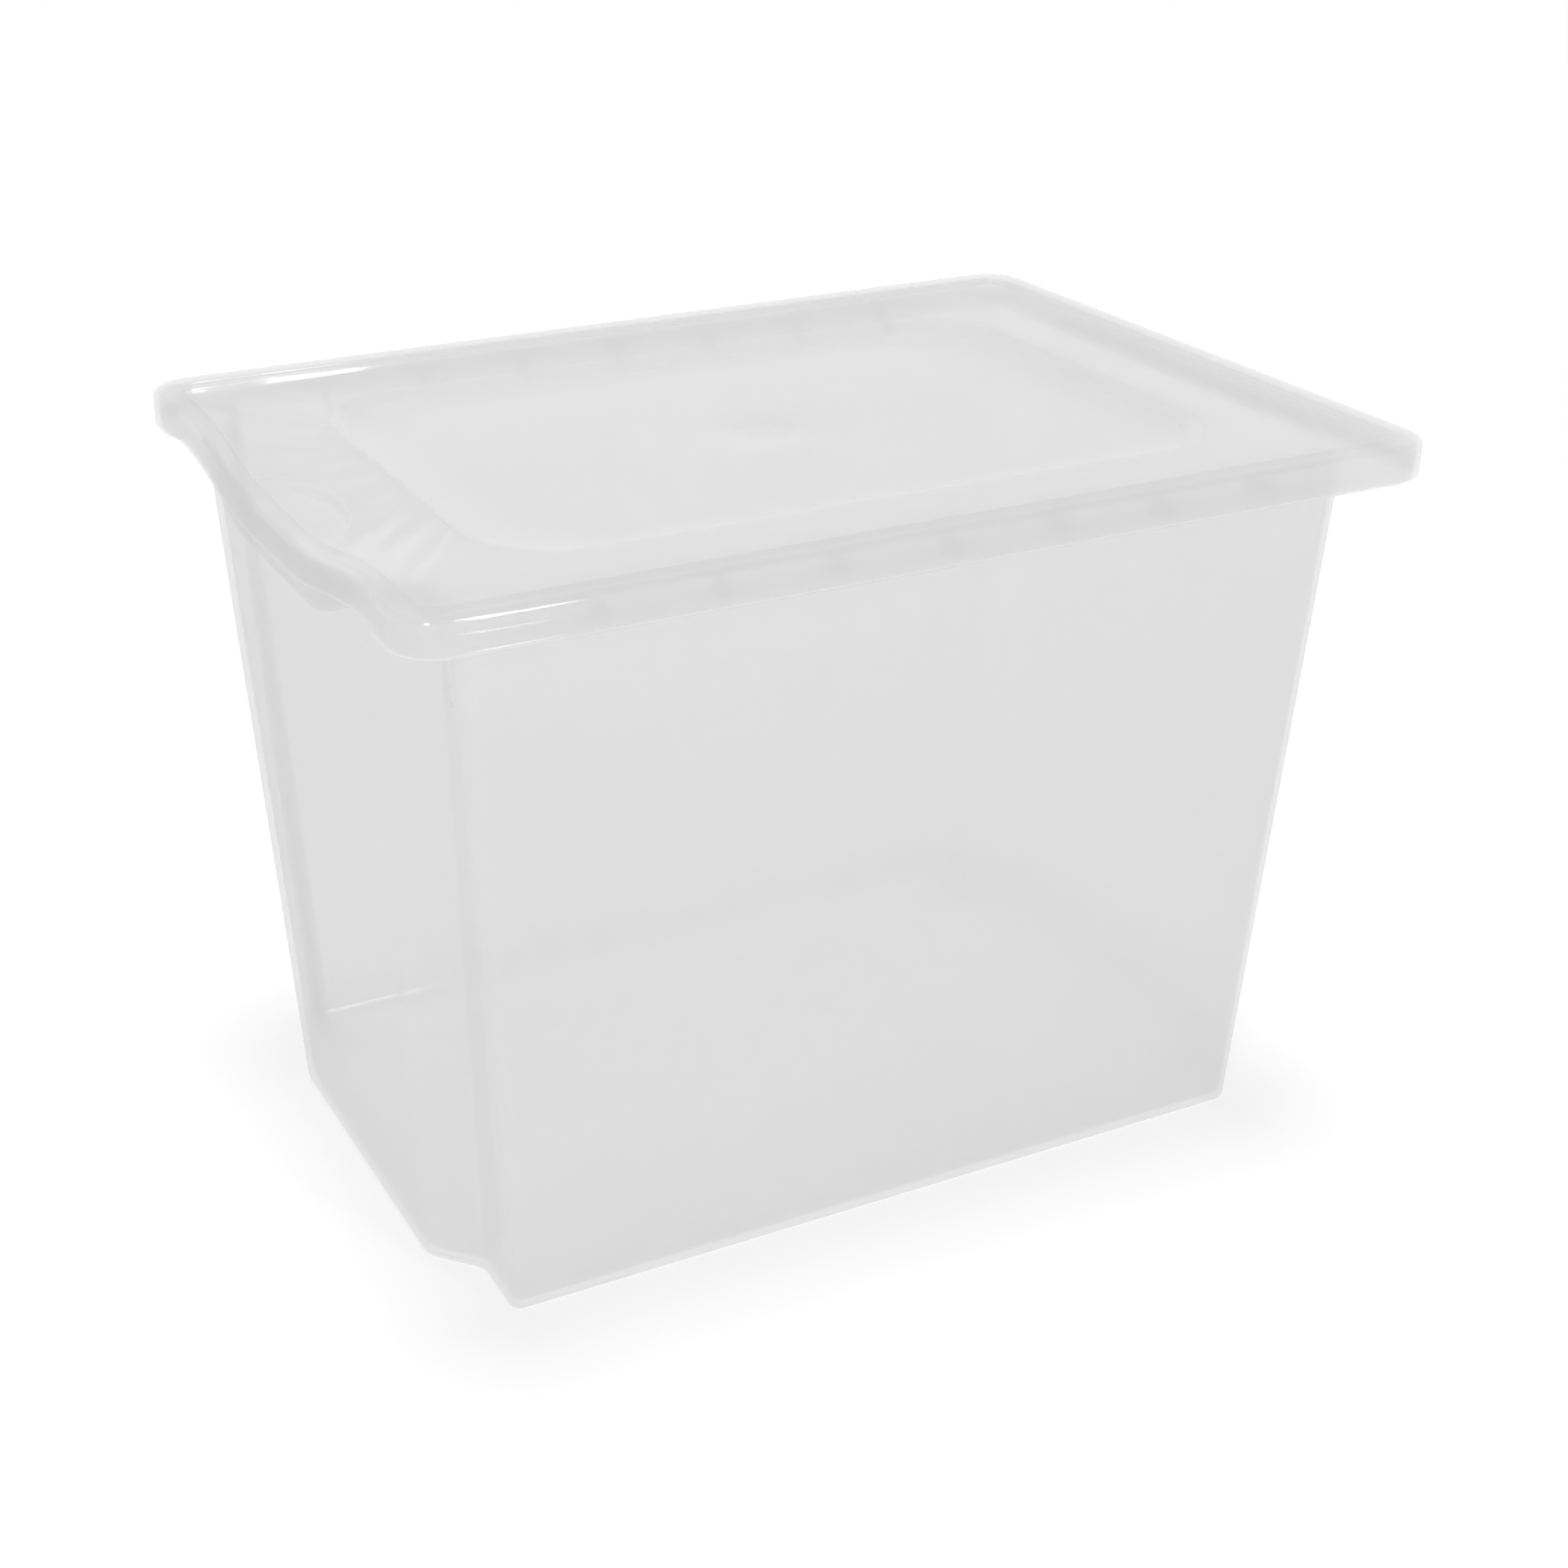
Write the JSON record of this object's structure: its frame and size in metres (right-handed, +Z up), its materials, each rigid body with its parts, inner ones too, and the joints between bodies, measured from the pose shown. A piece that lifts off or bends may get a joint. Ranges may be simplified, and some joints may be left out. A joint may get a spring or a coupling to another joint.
{
  "type": "stackable storage bin",
  "caption": "Clear plastic storage bin: tapered tub with bulged end walls and a ribbed rim, and a lift-off lid with a sunken panel, a dipped grip end and a thumb notch.",
  "frame": {"origin": "centre of the base, on the surface that the bin stands on", "axes": "+X along the length, away from the gripped end; +Y from front to back; +Z up"},
  "size_m": [0.39, 0.28, 0.28],
  "materials": {
    "tub_plastic": "clear, slightly cloudy moulded polypropylene",
    "lid_plastic": "clear, slightly cloudy moulded polypropylene"
  },
  "bodies": {
    "tub": {"tub": "tub_plastic"},
    "lid": {"lid": "lid_plastic"}
  },
  "joints": [
    {"name": "lid_lift", "type": "slide", "parent": "tub", "child": "lid", "axis": [0, 0, 1], "range_m": [0, 0.25]}
  ]
}
